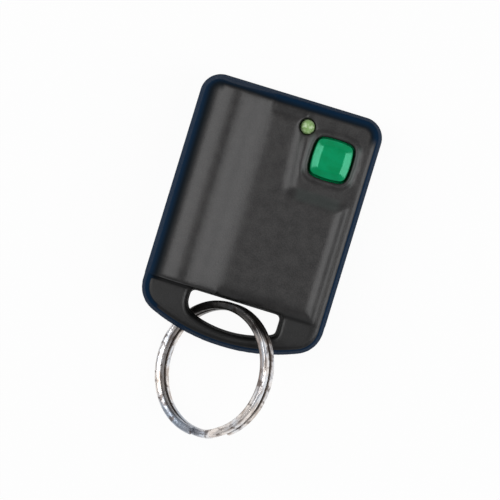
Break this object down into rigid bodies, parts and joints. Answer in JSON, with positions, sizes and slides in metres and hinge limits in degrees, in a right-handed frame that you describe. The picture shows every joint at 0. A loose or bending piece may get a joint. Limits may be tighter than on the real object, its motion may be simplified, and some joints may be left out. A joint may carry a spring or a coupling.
{
  "type": "alarm key fob",
  "caption": "Handheld alarm key fob with a battery barrel, a green push button, a lamp, and a split key ring in a slotted lug.",
  "frame": {"origin": "centre of the flat back of the casing, on the surface it lies on", "axes": "+Z out of the front face, +Y towards the head with the button, +X to the right seen from the front"},
  "size_m": [0.0384, 0.0721, 0.019],
  "materials": {
    "casing_plastic": "charcoal, fine moulded texture",
    "rear_plastic": "blue-black, satin",
    "button_plastic": "glossy green",
    "lens_plastic": "clear yellow-green",
    "tinned_steel": "tin plated",
    "board": "green solder mask",
    "black_plastic": "black moulding",
    "battery_sleeve": "plain dark sleeve",
    "contact_metal": "nickel plated brass",
    "ceramic": "ceramic",
    "copper": "bare copper",
    "screw_steel": "zinc plated",
    "ring_steel": "bright nickel plate"
  },
  "bodies": {
    "casing": {"front_cover": "casing_plastic", "rear_cover": "rear_plastic", "led_lens": "lens_plastic", "led_leads": "tinned_steel", "circuit_board": "board", "switch_base": "black_plastic", "switch_frame": "tinned_steel", "switch_dome": "tinned_steel", "switch_terminals": "tinned_steel", "battery_can": "battery_sleeve", "battery_positive_cap": "tinned_steel", "battery_negative_plate": "tinned_steel", "battery_positive_contact": "contact_metal", "battery_negative_contact": "contact_metal", "resonator_can": "tinned_steel", "resonator_pins": "tinned_steel", "encoder_chip": "black_plastic", "encoder_pins": "tinned_steel", "rf_transistor": "black_plastic", "rf_transistor_leads": "tinned_steel", "chip_resistors": "black_plastic", "chip_capacitors": "ceramic", "trimmer_base": "ceramic", "trimmer_rotor": "contact_metal", "antenna_track": "copper", "case_screw": "screw_steel"},
    "button": {"push_button": "button_plastic"},
    "plunger": {"switch_plunger": "black_plastic"},
    "ring": {"key_ring": "ring_steel"}
  },
  "joints": [
    {"name": "button_press", "type": "slide", "parent": "casing", "child": "button", "axis": [0, 0, -1], "range_m": [0, 0.0003], "stiffness_N_per_m": 2000},
    {"name": "plunger_press", "type": "slide", "parent": "casing", "child": "plunger", "axis": [0, 0, -1], "range_m": [0, 0.0003], "deforming": ["switch_dome"]},
    {"name": "key_ring_turn", "type": "hinge", "parent": "casing", "child": "ring", "pos_m": [0, -0.03137, 0.0095], "axis": [0, -1, 0], "range_deg": [0, 101]}
  ],
  "couplings": [
    {"joint": "plunger_press", "follows": "button_press", "ratio": 1}
  ]
}
